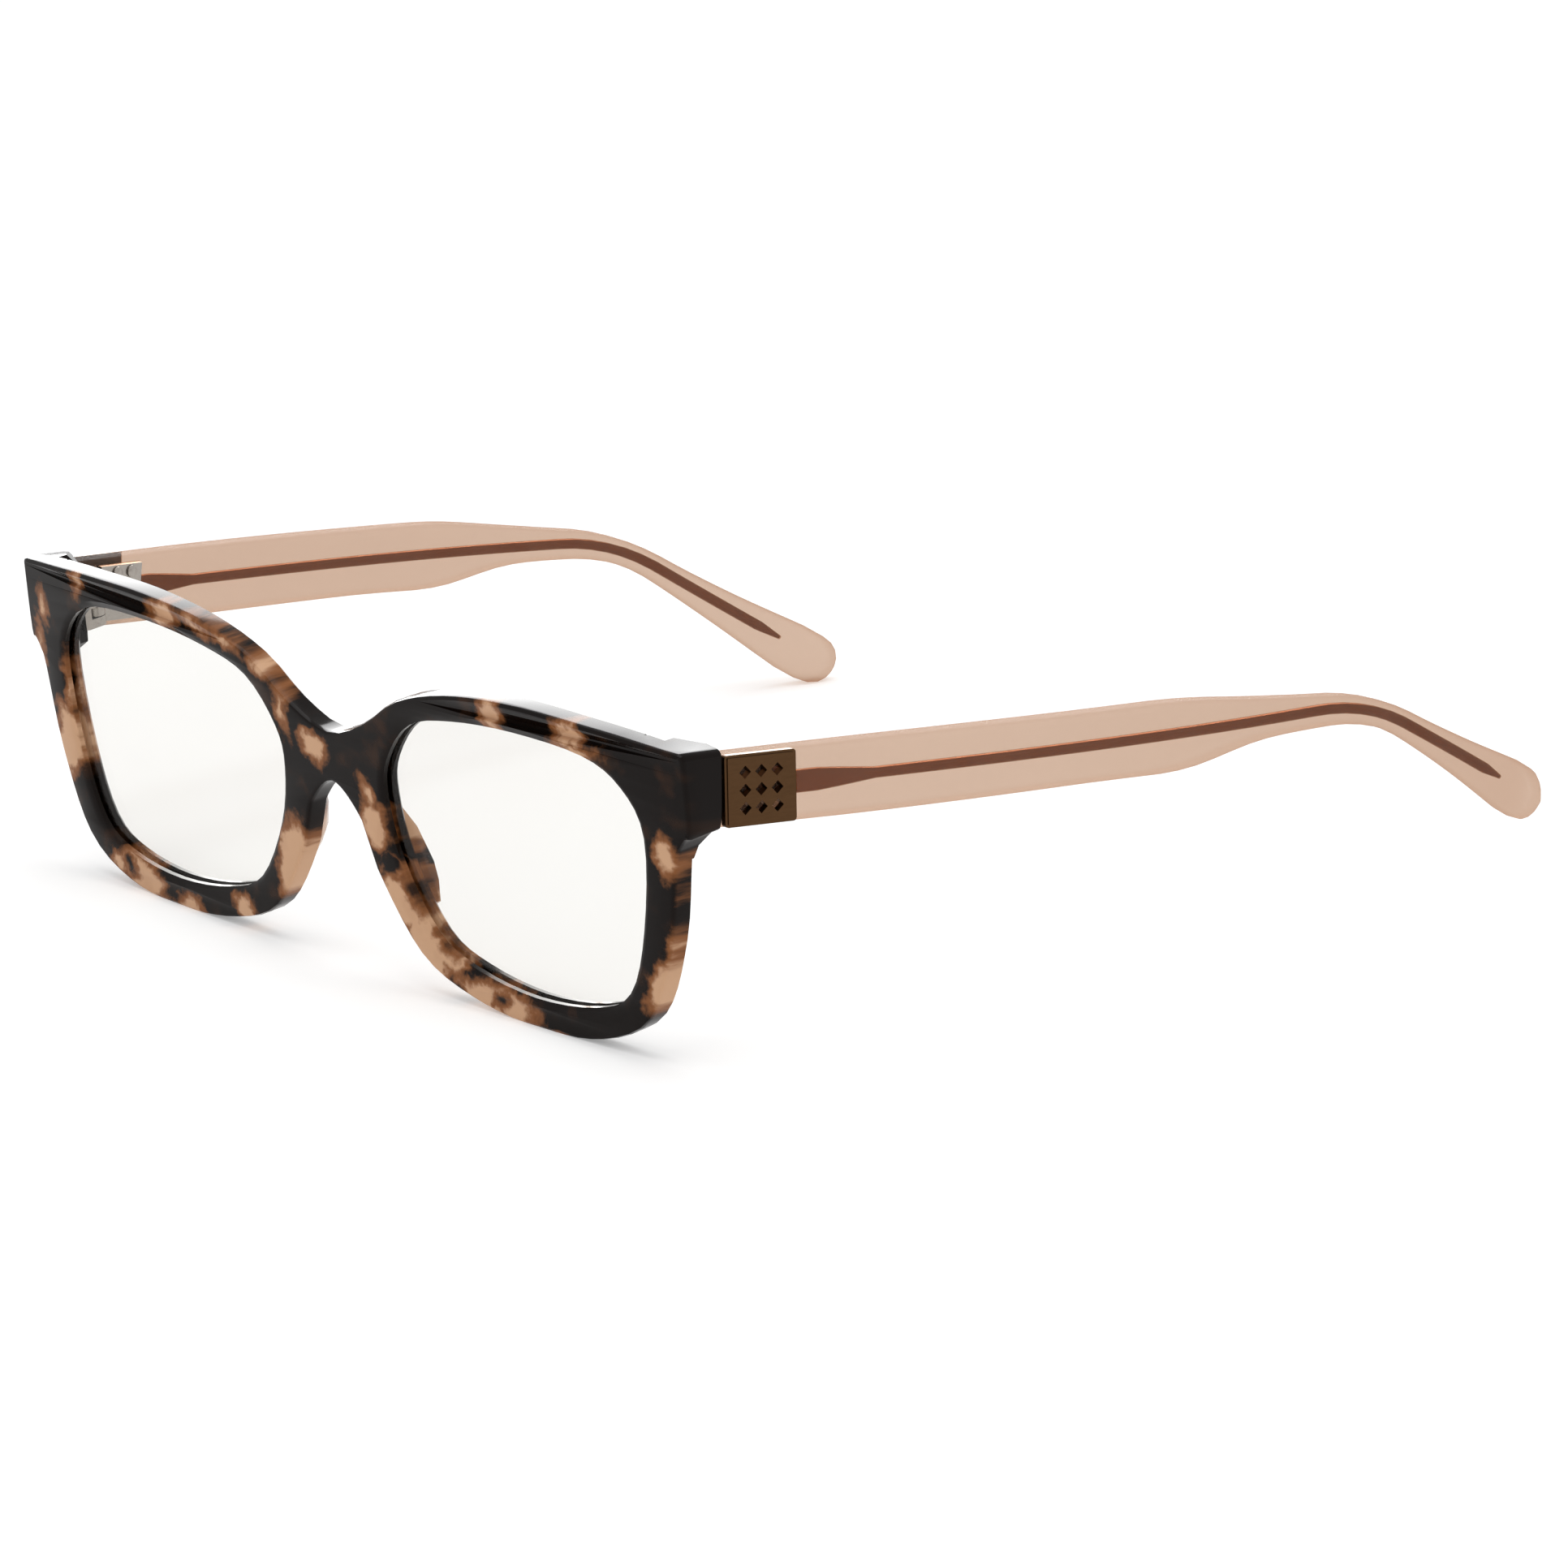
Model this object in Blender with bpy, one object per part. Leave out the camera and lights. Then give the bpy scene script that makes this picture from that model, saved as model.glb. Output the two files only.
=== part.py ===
"""Eyeglasses frame: acetate front with bonded nose pads, clear lenses, and two wire-core temples on hinges.

The front faces -Y, +X is the wearer's left, the temples run back along +Y and +Z is up.
Lengths below are millimetres; add_mesh turns them into metres.
"""

import math

import bmesh
import bpy
from mathutils import Vector
from mathutils.geometry import tessellate_polygon

MM = 0.001

# Front, seen from the front: u runs across from the middle, v up from its lowest point, w back
LENS_WIDTH = 48.2
LENS_HEIGHT = 35.7
NOSE_GAP = 20.3
LENS_LOW = 3.95
RIM_DEPTH = 3.3
BRIDGE_TOP = 32.4
BRIDGE_HEIGHT = 6.9
BRIDGE_FLARE = (7.25, 2.45)
ARCH_SHOULDER = (5.1, 4.2)
FRONT_CURVE = 1900.0
FRONT_WRAP = 2.3
STANCE = math.radians(7.4)
OUTLINE_STEP = 2.6
OUTLINE_TURN = math.radians(9.0)
EDGE_ROUND = 0.6
BACK_ROUND = 0.5
FOOT_FLAT = 0.25

# Lens opening as fractions of half its box, clockwise from the nasal side
LENS_SHAPE = (
    (-1.0, 0.2), (-0.955, 0.5), (-0.737, 0.823), (-0.384, 0.95), (0.1, 1.0),
    (0.61, 0.96), (0.87, 0.787), (1.0, 0.444), (0.938, -0.25), (0.795, -0.76),
    (0.525, -0.94), (0.074, -1.0), (-0.382, -0.92), (-0.69, -0.74), (-0.921, -0.255),
)
LENS_SPAN_STEPS = 4
# Rim width at points of that list, along the top and round the bottom
RIM_TOP = {2: 3.5, 3: 3.6, 4: 3.9, 5: 4.4}
RIM_LOW = {8: 4.8, 9: 4.3, 10: 4.2, 11: 4.0, 12: 4.15, 13: 4.5, 14: 5.2}

# Lens seat and lens
BEVEL_WIDTH = 0.9
BEVEL_DEPTH = 0.5
GROOVE_MIDDLE = 1.7
GROOVE_HALF = 0.55
GROOVE_DEPTH = 0.8
LENS_CLEARANCE = 0.1
LENS_HALF_THICK = 0.6
LENS_CROWN = 0.9
LENS_EDGE_BAND = 1.2

# End block behind the front's outer corner
END_HALF = 66.4
END_TOP = 42.1
END_RISE = 0.6
END_CORNER = 1.0
END_SIDE_LOW = 31.9
END_FILLET = ((65.4, 30.75), (64.3, 29.3), (63.6, 27.3))
END_INSET = 8.1
END_DROP = math.radians(11.0)
BLOCK_FOOT = (60.2, 30.0)
BLOCK_LOW = 27.4
BLOCK_FULL = 31.4
BLOCK_LIP = 0.3
BLOCK_DEPTH = 6.85
BLOCK_MITRE = math.radians(6.2)
TRIM_OVER = 0.3
TRIM_SLOPE = 0.85
TRIM_REACH = 8.0

# Nose pads
PAD_TOP = 21.5
PAD_LOW = 8.5
PAD_RISE = 3.1
PAD_INSET = 0.5
PAD_WIDTH = 3.9
PAD_SECTION = ((0.0, 0.0), (0.18, 0.42), (0.45, 0.82), (0.66, 1.0), (0.84, 0.9), (0.97, 0.5), (1.0, 0.0))
GLUE_GAP = 0.05

# Hinges
HINGE_V = 35.0
BARRELS = 5
BARREL_TALL = 1.3
BARREL_GAP = 0.1
BARREL_R = 1.3
SCREW_R = 0.65
SCREW_FIT = 0.07
SCREW_HEAD_R = 1.15
SCREW_HEAD_TALL = 0.6
SLOT_WIDE = 0.35
SLOT_DEEP = 0.3
PIN_BEHIND = 0.35
HINGE_BASE = 1.05
SINK_GAP = 0.06
JOINT_GAP = 0.2
SIDE_GAP = 0.4
WEB_JOIN = 4.6
ANCHOR_R = 0.5
ANCHOR_LONG = 1.3
ANCHOR_V = 2.2
BASE_SHORT = 0.12
CUT_PAST = 4.0

# Temples, in their own frame: s runs back along the temple, h up, out away from the head
TEMPLE_THICK = 3.6
TEMPLE_FLUSH = 0.1
TEMPLE_EDGE = 0.8
TEMPLE_SPLAY = math.radians(9.5)
TEMPLE_BOW = 21.8
BEND_START = 93.8
BEND_ANGLE = math.radians(26.3)
BEND_RADIUS = 39.2
TIP_LENGTH = 34.2
TIP_ROUND = 4.3
# The left temple is set this much higher than the right one, whose tip reaches the floor
LEFT_LIFT = math.radians(3.7)
SECTION_STEP = 6.0
# Distance along the middle line, half height above it, half height below it, thickness
TEMPLE_SECTIONS = (
    (0.0, 5.0, 4.2, 1.0), (20.0, 5.1, 4.4, 0.99), (56.0, 4.9, 4.27, 0.95), (70.0, 4.68, 4.28, 0.93),
    (83.0, 3.45, 2.05, 0.9), (96.0, 2.27, 1.75, 0.86), (110.0, 1.8, 1.65, 0.84), (124.0, 2.3, 2.4, 0.84),
    (138.0, 3.35, 3.65, 0.84),
)

# Core wire and its flat shield
WIRE_H = 0.3
WIRE_R = 0.62
WIRE_FIT = 0.07
WIRE_BEFORE_TIP = 10.0
SHIELD_TALL = 2.8
SHIELD_THICK = 0.9
SHIELD_LONG = 14.5
SHIELD_TAPER = 8.5
WIRE_POINT = 3.0
WIRE_RECESS = 0.4

# Plate on the temple, with a three by three field of diamond openings
PLATE_LONG = 10.2
PLATE_THICK = 0.9
PLATE_PROUD = 0.2
PLATE_FIT = 0.08
PLATE_CORNER = 0.45
PLATE_STEP = 0.35
PLATE_STEP_DEEP = 0.16
WINDOW_PITCH = 2.3
WINDOW_SIZE = 0.85
WINDOWS = 3

# Hinge leaf let into the temple, and its rivets
LEAF_START = 3.0
LEAF_END = 10.8
LEAF_LOW = -3.4
LEAF_HIGH = 4.05
LEAF_THICK = 0.8
LEAF_SUNK = 0.4
RIVET_R = 0.55
RIVET_FIT = 0.07
RIVET_HEAD_R = 0.85
RIVET_HEAD = 0.35
RIVET_S = (6.1, 8.8)
RIVET_H = 3.05

LOOKS = {
    "front": ((0.10, 0.045, 0.02, 1), 0.12, 0.0),
    "lens": ((0.93, 0.94, 0.93, 1), 0.03, 0.0),
    "temple": ((0.80, 0.62, 0.52, 1), 0.45, 0.0),
    "plate": ((0.21, 0.13, 0.065, 1), 0.35, 1.0),
    "steel": ((0.55, 0.53, 0.50, 1), 0.3, 1.0),
    "wire": ((0.38, 0.25, 0.13, 1), 0.35, 1.0),
}


def ease(value):
    """Smooth step from 0 to 1."""
    value = min(1.0, max(0.0, value))
    return value * value * (3 - 2 * value)


def spline(before, start, end, after, steps):
    """Points of one Catmull-Rom span, from start up to but not including end."""
    points = []
    for k in range(steps):
        t = k / steps
        row = []
        for p0, p1, p2, p3 in zip(before, start, end, after):
            row.append(0.5 * (2 * p1 + (p2 - p0) * t + (2 * p0 - 5 * p1 + 4 * p2 - p3) * t * t
                              + (3 * p1 - p0 - 3 * p2 + p3) * t ** 3))
        points.append(tuple(row))
    return points


def mirrored(point):
    return (-point[0], point[1])


def open_curve(points, before, after):
    """A smooth curve through the points, with closer steps where it turns, ends included.

    The points before and after only steer the curve's ends.
    """
    ends = [before] + list(points) + [after]
    curve = []
    for a, b, c, d in zip(ends, ends[1:], ends[2:], ends[3:]):
        turn = (Vector(c) - Vector(a)).angle(Vector(d) - Vector(b))
        steps = max(2, round(math.dist(b, c) / OUTLINE_STEP), math.ceil(turn / OUTLINE_TURN))
        curve += spline(a, b, c, d, steps)
    return curve + [tuple(points[-1])]


def closed_curve(points, steps):
    count = len(points)
    curve = []
    for i in range(count):
        curve += spline(points[i - 1], points[i], points[(i + 1) % count], points[(i + 2) % count], steps)
    return curve


def outward(loop):
    """Unit normals of a closed clockwise loop, pointing out of it."""
    normals = []
    for i in range(len(loop)):
        (x0, y0), (x1, y1) = loop[i - 1], loop[(i + 1) % len(loop)]
        length = math.hypot(x1 - x0, y1 - y0)
        normals.append(((y0 - y1) / length, (x1 - x0) / length))
    return normals


def grown(loop, normals, by):
    return [(x + nx * by, y + ny * by) for (x, y), (nx, ny) in zip(loop, normals)]


def front_sag(u):
    """How far back the front's face lies at a distance across: nearly flat, with wrapped ends."""
    return u * u / (2 * FRONT_CURVE) + FRONT_WRAP * (u / END_HALF) ** 4


def leaned(x, y, z):
    """A place of the upright front, brought to the lean at which the glasses stand."""
    lean = (math.cos(STANCE), math.sin(STANCE))
    return Vector((x, y * lean[0] - z * lean[1], z * lean[0] + y * lean[1]))


def on_front(u, v, w):
    """A place on the curved, leaning front, in the frame of the standing glasses."""
    fall = math.tan(END_DROP) * max(0.0, w - 1) * ease((abs(u) - END_HALF + END_INSET) / END_INSET)
    fall *= ease((v - END_SIDE_LOW) / (END_TOP - END_SIDE_LOW))
    return leaned(u, w + front_sag(u), v - fall)


def front_depth(point):
    """How far a place lies behind the front's curved face."""
    y = point.y * math.cos(STANCE) + point.z * math.sin(STANCE)
    return y - front_sag(point.x)


def front_height(point):
    return point.z * math.cos(STANCE) - point.y * math.sin(STANCE)


def block_back(v):
    """Depth of the end block's back face, mitred to suit the dropping temple."""
    return BLOCK_DEPTH - (END_TOP - v) * math.tan(BLOCK_MITRE)


def block_depth(v):
    """Depth along the front's outer edge, swelling from the rim's to the end block's."""
    thin = RIM_DEPTH + BLOCK_LIP
    return thin + (block_back(v) - thin) * ease((v - BLOCK_LOW) / (BLOCK_FULL - BLOCK_LOW))


def lens_loop():
    middle_u = (NOSE_GAP + LENS_WIDTH) / 2
    middle_v = LENS_LOW + LENS_HEIGHT / 2
    corners = [(middle_u + a * LENS_WIDTH / 2, middle_v + b * LENS_HEIGHT / 2) for a, b in LENS_SHAPE]
    return closed_curve(corners, LENS_SPAN_STEPS)


def half_outline():
    """The front's outer edge for one half, from the middle of the bridge's top round to its arch."""
    loop = lens_loop()
    normals = outward(loop)

    def rim_point(i, width):
        (u, v), (nx, ny) = loop[i * LENS_SPAN_STEPS], normals[i * LENS_SPAN_STEPS]
        return (u + nx * width, v + ny * width)

    top = [(0.0, BRIDGE_TOP), (BRIDGE_FLARE[0], BRIDGE_TOP + BRIDGE_FLARE[1])]
    top += [rim_point(i, width) for i, width in RIM_TOP.items()]
    top += [(END_HALF - END_INSET, END_TOP + END_RISE), (END_HALF - END_CORNER, END_TOP)]
    corner = []
    for k in range(1, 4):
        turn = math.radians(90 - 22.5 * k)
        corner.append((END_HALF - END_CORNER + END_CORNER * math.cos(turn),
                       END_TOP - END_CORNER + END_CORNER * math.sin(turn)))
    low = [(END_HALF, END_TOP - END_CORNER), (END_HALF, END_SIDE_LOW), *END_FILLET]
    low += [rim_point(i, width) for i, width in RIM_LOW.items()]
    arch = BRIDGE_TOP - BRIDGE_HEIGHT
    low += [(ARCH_SHOULDER[0], arch - ARCH_SHOULDER[1]), (0.0, arch)]
    upper = open_curve(top, mirrored(top[1]), top[-1])
    return upper + corner + open_curve(low, low[0], mirrored(low[-2]))


def look(name):
    material = bpy.data.materials.new(name)
    material.use_nodes = True
    colour, rough, metal = LOOKS[name]
    shader = material.node_tree.nodes["Principled BSDF"]
    shader.inputs["Base Color"].default_value = colour
    shader.inputs["Roughness"].default_value = rough
    shader.inputs["Metallic"].default_value = metal
    return material


def add_mesh(name, points, faces, side=1, finish=None, pin=None, root=None):
    """A closed mesh object from millimetre points on the left side; side -1 mirrors it to the right.

    With a pin, the object hangs from that empty and its origin is on the hinge axis.
    """
    base = Vector(pin["place"]) if pin else Vector((0, 0, 0))
    placed = [(Vector((p[0] * side, p[1], p[2])) - base) * MM for p in points]
    mesh = bpy.data.meshes.new(name)
    mesh.from_pydata(placed, [], faces)
    work = bmesh.new()
    work.from_mesh(mesh)
    bmesh.ops.recalc_face_normals(work, faces=work.faces)
    work.to_mesh(mesh)
    work.free()
    mesh.shade_smooth()
    mesh.set_sharp_from_angle(angle=math.radians(32))
    obj = bpy.data.objects.new(name, mesh)
    bpy.context.collection.objects.link(obj)
    obj.parent = pin if pin else root
    if finish:
        material = look(finish)
        material.name = name + "_look"
        mesh.materials.append(material)
    else:
        obj.hide_render = True
        obj.display_type = "WIRE"
    return obj


def boolean(obj, tool, operation):
    step = obj.modifiers.new(tool.name, "BOOLEAN")
    step.operation = operation
    step.solver = "EXACT"
    step.object = tool


def bridge(first, second):
    """Quads between two closed rings of the same count, given as lists of vertex numbers."""
    count = len(first)
    return [(first[i], first[(i + 1) % count], second[(i + 1) % count], second[i]) for i in range(count)]


def rings_to_solid(rings):
    """Vertices and faces of a stack of rings, closed at both ends by flat caps."""
    count = len(rings[0])
    points = [p for ring in rings for p in ring]
    faces = []
    for level in range(len(rings) - 1):
        low = [level * count + i for i in range(count)]
        faces += bridge(low, [i + count for i in low])
    faces.append(tuple(range(count)))
    faces.append(tuple(range(len(points) - count, len(points))))
    return points, faces


def fill(points, loops):
    """Triangles over flat loops of vertex numbers; the first loop is the outside, the others are holes."""
    flat = [[Vector((points[i][0], points[i][1], 0)) for i in loop] for loop in loops]
    numbers = [i for loop in loops for i in loop]
    return [tuple(numbers[i] for i in triangle) for triangle in tessellate_polygon(flat)]


def block_trim():
    """Cutter that slopes off the end block's inner top corner, so its top edge runs on from the rim's."""
    first = END_HALF - END_INSET - TRIM_OVER
    rise = (BLOCK_DEPTH - RIM_DEPTH) / (END_INSET + TRIM_OVER)
    rows = []
    for lift in (0.0, TRIM_REACH):
        ring = []
        for u, v in box((first, END_TOP - TRIM_REACH), (END_HALF + TRIM_REACH, END_TOP + TRIM_REACH / 2)):
            w = RIM_DEPTH - TRIM_OVER + rise * (u - first) + TRIM_SLOPE * (END_TOP - v)
            ring.append(on_front_flat(u, v + lift * TRIM_SLOPE, w + lift))
        rows.append(ring)
    return rings_to_solid(rows)


def build_front(root):
    half = half_outline()
    outline = half + [(-u, v) for u, v in reversed(half[1:-1])]
    normals = outward(outline)
    count = len(outline)
    points = []

    def ring(loop, depth):
        first = len(points)
        for i, (u, v) in enumerate(loop):
            points.append((u, v, depth[i] if isinstance(depth, list) else depth))
        return list(range(first, len(points)))

    faces = []
    soft = EDGE_ROUND * (1 - math.sqrt(0.5))
    levels = ((EDGE_ROUND, 0.0), (soft, soft), (0.0, EDGE_ROUND), (0.0, RIM_DEPTH - BACK_ROUND))
    walls = [ring(grown(outline, normals, -inset), depth) for inset, depth in levels]
    for low, high in zip(walls, walls[1:]):
        faces += bridge(low, high)
    rim_back = ring(grown(outline, normals, -BACK_ROUND), RIM_DEPTH)

    last_half = len(half) - 1
    start = next(i for i in range(last_half) if half[i][0] > END_HALF - END_INSET + 0.1)
    stop = next(i for i in range(start + 6, last_half) if half[i][1] < BLOCK_LOW)
    spans = {1: list(range(start, stop + 1)), -1: [(count - i) % count for i in range(stop, start - 1, -1)]}
    covered = set()
    back_loop = list(rim_back)
    for side, span in spans.items():
        depth = [block_depth(outline[i][1]) for i in span]
        near = ring([outline[i] for i in span], [d - BACK_ROUND for d in depth])
        inner = grown([outline[i] for i in span], [normals[i] for i in span], -BACK_ROUND)
        far = ring(inner, depth)
        foot = ring([(side * BLOCK_FOOT[0], BLOCK_FOOT[1])], RIM_DEPTH)[0]
        foot_back = ring([(side * BLOCK_FOOT[0], BLOCK_FOOT[1])], block_back(BLOCK_FOOT[1]))[0]
        wall = walls[-1]
        for k in range(len(span) - 1):
            a, b = span[k], span[k + 1]
            covered.add(a)
            faces.append((wall[a], wall[b], near[k + 1], near[k]))
            faces.append((near[k], near[k + 1], far[k + 1], far[k]))
        for k in (0, -1):
            faces.append((wall[span[k]], rim_back[span[k]], far[k], near[k]))
            faces.append((rim_back[span[k]], foot, foot_back, far[k]))
        faces += fill(points, [far + [foot_back]])
        first = back_loop.index(rim_back[span[0]])
        last = back_loop.index(rim_back[span[-1]])
        back_loop = back_loop[:first + 1] + [foot] + back_loop[last:]
    for i in range(count):
        if i not in covered:
            j = (i + 1) % count
            faces.append((walls[-1][i], walls[-1][j], rim_back[j], rim_back[i]))

    lens = lens_loop()
    seat = ((BEVEL_WIDTH, 0.0), (0.0, BEVEL_DEPTH), (0.0, GROOVE_MIDDLE - GROOVE_HALF),
            (GROOVE_DEPTH, GROOVE_MIDDLE), (0.0, GROOVE_MIDDLE + GROOVE_HALF),
            (0.0, RIM_DEPTH - BACK_ROUND), (BACK_ROUND, RIM_DEPTH))
    face_loops = [walls[0]]
    back_loops = [back_loop]
    for side in (1, -1):
        loop = lens if side == 1 else [(-u, v) for u, v in reversed(lens)]
        out = outward(loop)
        rings = [ring(grown(loop, out, by), depth) for by, depth in seat]
        for low, high in zip(rings, rings[1:]):
            faces += bridge(low, high)
        face_loops.append(rings[0])
        back_loops.append(rings[-1])
    faces += fill(points, face_loops)
    faces += fill(points, back_loops)

    placed = [on_front(*p) for p in points]
    floor = min(p.z for p in placed) + FOOT_FLAT
    for p in placed:
        p.z = max(p.z, floor)
    front = add_mesh("front_frame", placed, faces, finish="front", root=root)
    for side in (1, -1):
        tool = add_mesh(f"block_trim_{side}", *block_trim(), side=side, root=root)
        boolean(front, tool, "DIFFERENCE")
    return front, floor


def lens_solid():
    """A clear lens whose V edge sits in the rim's groove."""
    loop = lens_loop()
    out = outward(loop)
    middle = Vector((sum(u for u, v in loop) / len(loop), sum(v for u, v in loop) / len(loop)))
    edge_half = GROOVE_HALF - LENS_CLEARANCE
    inner = grown(loop, out, -LENS_EDGE_BAND)
    reach = max((Vector(p) - middle).length for p in inner)

    def disc(share):
        return [tuple(middle + (Vector(p) - middle) * share) for p in inner]

    def crown(p):
        return LENS_CROWN * (1 - ((Vector(p) - middle).length / reach) ** 2)

    rows = []
    for share in (0.3, 0.65, 1.0):
        rows.append([(u, v, -LENS_HALF_THICK - crown((u, v))) for u, v in disc(share)])
    rows.append([(u, v, -edge_half) for u, v in grown(loop, out, -2 * LENS_CLEARANCE)])
    rows.append([(u, v, 0.0) for u, v in grown(loop, out, GROOVE_DEPTH - 1.5 * LENS_CLEARANCE)])
    rows.append([(u, v, edge_half) for u, v in grown(loop, out, -2 * LENS_CLEARANCE)])
    for share in (1.0, 0.65, 0.3):
        rows.append([(u, v, LENS_HALF_THICK - crown((u, v))) for u, v in disc(share)])
    points, faces = rings_to_solid(rows)
    return [on_front(u, v, GROOVE_MIDDLE + w) for u, v, w in points], faces


def pad_solid():
    """A bonded nose pad: a rounded ridge that splays back from the nasal rim."""
    half = half_outline()
    nasal = [p for p in half if p[0] < NOSE_GAP / 2 + 4 and PAD_LOW <= p[1] <= PAD_TOP]
    rows = []
    for i, (u, v) in enumerate(nasal):
        (u0, v0), (u1, v1) = nasal[max(0, i - 1)], nasal[min(len(nasal) - 1, i + 1)]
        length = math.hypot(u1 - u0, v1 - v0)
        inward = ((v1 - v0) / length, -(u1 - u0) / length)
        swell = math.sin(math.pi * (i + 0.35) / (len(nasal) - 0.3)) ** 0.6
        wide = PAD_WIDTH * (0.45 + 0.55 * swell)
        tall = PAD_RISE * (0.12 + 0.88 * swell)
        start = PAD_INSET + (PAD_WIDTH - wide) / 2
        row = []
        for across, up in PAD_SECTION:
            reach = start + wide * across
            row.append((u + inward[0] * reach, v + inward[1] * reach, RIM_DEPTH + GLUE_GAP + tall * up))
        rows.append(row)
    points, faces = rings_to_solid(rows)
    return [on_front(*p) for p in points], faces


def hinge_place():
    """The pin's middle, and the hinge's own directions: across, back and up along the pin."""
    across = END_HALF - TEMPLE_FLUSH - TEMPLE_THICK - BARREL_R - SIDE_GAP
    depth = block_back(HINGE_V) + BARREL_R + PIN_BEHIND
    place = leaned(across, depth + front_sag(across), HINGE_V)
    return place, Vector((1, 0, 0)), leaned(0, 1, 0), leaned(0, 0, 1)


def hinge_points(flat):
    place, right, back, up = hinge_place()
    return [place + right * x + back * y + up * z for x, y, z in flat]


def prism(profile, low, high):
    """A profile in the hinge's plane, raised along the pin."""
    points, faces = rings_to_solid([[(x, y, z) for x, y in profile] for z in (low, high)])
    return hinge_points(points), faces


def circle(radius, sides, middle=(0.0, 0.0)):
    turns = [2 * math.pi * (k + 0.5) / sides for k in range(sides)]
    return [(middle[0] + radius * math.cos(t), middle[1] + radius * math.sin(t)) for t in turns]


def box(low, high):
    return [(low[0], low[1]), (high[0], low[1]), (high[0], high[1]), (low[0], high[1])]


def barrel_span(i):
    pitch = BARREL_TALL + BARREL_GAP
    middle = (i - (BARRELS - 1) / 2) * pitch
    return middle - BARREL_TALL / 2, middle + BARREL_TALL / 2


def hinge_half_tall():
    return barrel_span(BARRELS - 1)[1]


def arc(first, last, sides):
    turns = [math.radians(first + (last - first) * k / sides) for k in range(sides + 1)]
    return [(BARREL_R * math.cos(t), BARREL_R * math.sin(t)) for t in turns]


def build_front_hinge(name, side, root, front):
    base_top = -BARREL_R - PIN_BEHIND
    base_low = base_top - HINGE_BASE
    tall = hinge_half_tall()
    left, right = -BARREL_R - 2 * SINK_GAP, BARREL_R + SINK_GAP
    seat = prism(box((left - CUT_PAST, base_low - SINK_GAP), (right + SINK_GAP, CUT_PAST)),
                 -tall - SINK_GAP, tall + SINK_GAP)
    seat_cut = add_mesh(name + "_seat_cut", *seat, side=side, root=root)
    boolean(front, seat_cut, "DIFFERENCE")
    relief = prism(circle(SCREW_HEAD_R + 3 * SINK_GAP, 16), 0.0, tall + 2 * SCREW_HEAD_TALL)
    boolean(front, add_mesh(name + "_screw_relief", *relief, side=side, root=root), "DIFFERENCE")
    plate = prism(box((left, base_low), (right, base_top)), BASE_SHORT - tall, tall - BASE_SHORT)
    body = add_mesh(name, *plate, side=side, finish="steel", root=root)
    sunk = base_top - HINGE_BASE / 2
    knuckle = arc(0, 180, 10) + [(-BARREL_R, sunk), (BARREL_R, sunk)]
    for i in range(0, BARRELS, 2):
        piece = add_mesh(f"{name}_barrel_{i}", *prism(knuckle, *barrel_span(i)), side=side, root=root)
        boolean(body, piece, "UNION")
    for sign in (-1, 1):
        for fit, owner, operation in ((0.0, body, "UNION"), (SINK_GAP, front, "DIFFERENCE")):
            low = base_low - ANCHOR_LONG - fit
            rows = []
            for y in (low, base_low + HINGE_BASE / 3):
                rows.append([(x, y, z) for x, z in circle(ANCHOR_R + fit, 10, (0.0, sign * ANCHOR_V))])
            points, faces = rings_to_solid(rows)
            part = "peg" if operation == "UNION" else "hole"
            tool = add_mesh(f"{name}_{part}_{sign}", hinge_points(points), faces, side=side, root=root)
            boolean(owner, tool, operation)
    bore = add_mesh(name + "_bore", *prism(circle(SCREW_R + SCREW_FIT, 16), -tall - 1, tall + 1),
                    side=side, root=root)
    boolean(body, bore, "DIFFERENCE")


def build_screw(name, side, root):
    tall = hinge_half_tall()
    rows = []
    head = tall + BARREL_GAP / 2
    for radius, z in ((SCREW_R - 0.15, -tall - 0.03), (SCREW_R, -tall + 0.15), (SCREW_R, head),
                      (SCREW_HEAD_R, head), (SCREW_HEAD_R, head + SCREW_HEAD_TALL * 0.6),
                      (SCREW_HEAD_R * 0.75, head + SCREW_HEAD_TALL)):
        rows.append([(x, y, z) for x, y in circle(radius, 16)])
    points, faces = rings_to_solid(rows)
    screw = add_mesh(name, hinge_points(points), faces, side=side, finish="steel", root=root)
    across = box((-2, -SLOT_WIDE / 2), (2, SLOT_WIDE / 2))
    slot = prism(across, head + SCREW_HEAD_TALL - SLOT_DEEP, head + 2)
    boolean(screw, add_mesh(name + "_slot", *slot, side=side, root=root), "DIFFERENCE")


def temple_end():
    return BEND_START + BEND_RADIUS * BEND_ANGLE + TIP_LENGTH


def middle_line(along):
    """Place and direction on the temple's middle line, in its own s, h plane."""
    bend = BEND_RADIUS * BEND_ANGLE
    if along <= BEND_START:
        return along, 0.0, 0.0
    turn = min(BEND_ANGLE, (along - BEND_START) / BEND_RADIUS)
    s = BEND_START + BEND_RADIUS * math.sin(turn)
    h = -BEND_RADIUS * (1 - math.cos(turn))
    rest = max(0.0, along - BEND_START - bend)
    return s + rest * math.cos(turn), h - rest * math.sin(turn), turn


def blend(values, places, i, share):
    """Cubic through the listed values, between entries i - 1 and i."""
    def slope(k):
        low, high = max(0, k - 1), min(len(values) - 1, k + 1)
        return (values[high] - values[low]) / (places[high] - places[low])

    reach = places[i] - places[i - 1]
    rise = values[i] - values[i - 1]
    first, second = slope(i - 1) * reach, slope(i) * reach
    return values[i - 1] + share * (first + share * (3 * rise - 2 * first - second
                                                     + share * (first + second - 2 * rise)))


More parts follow.
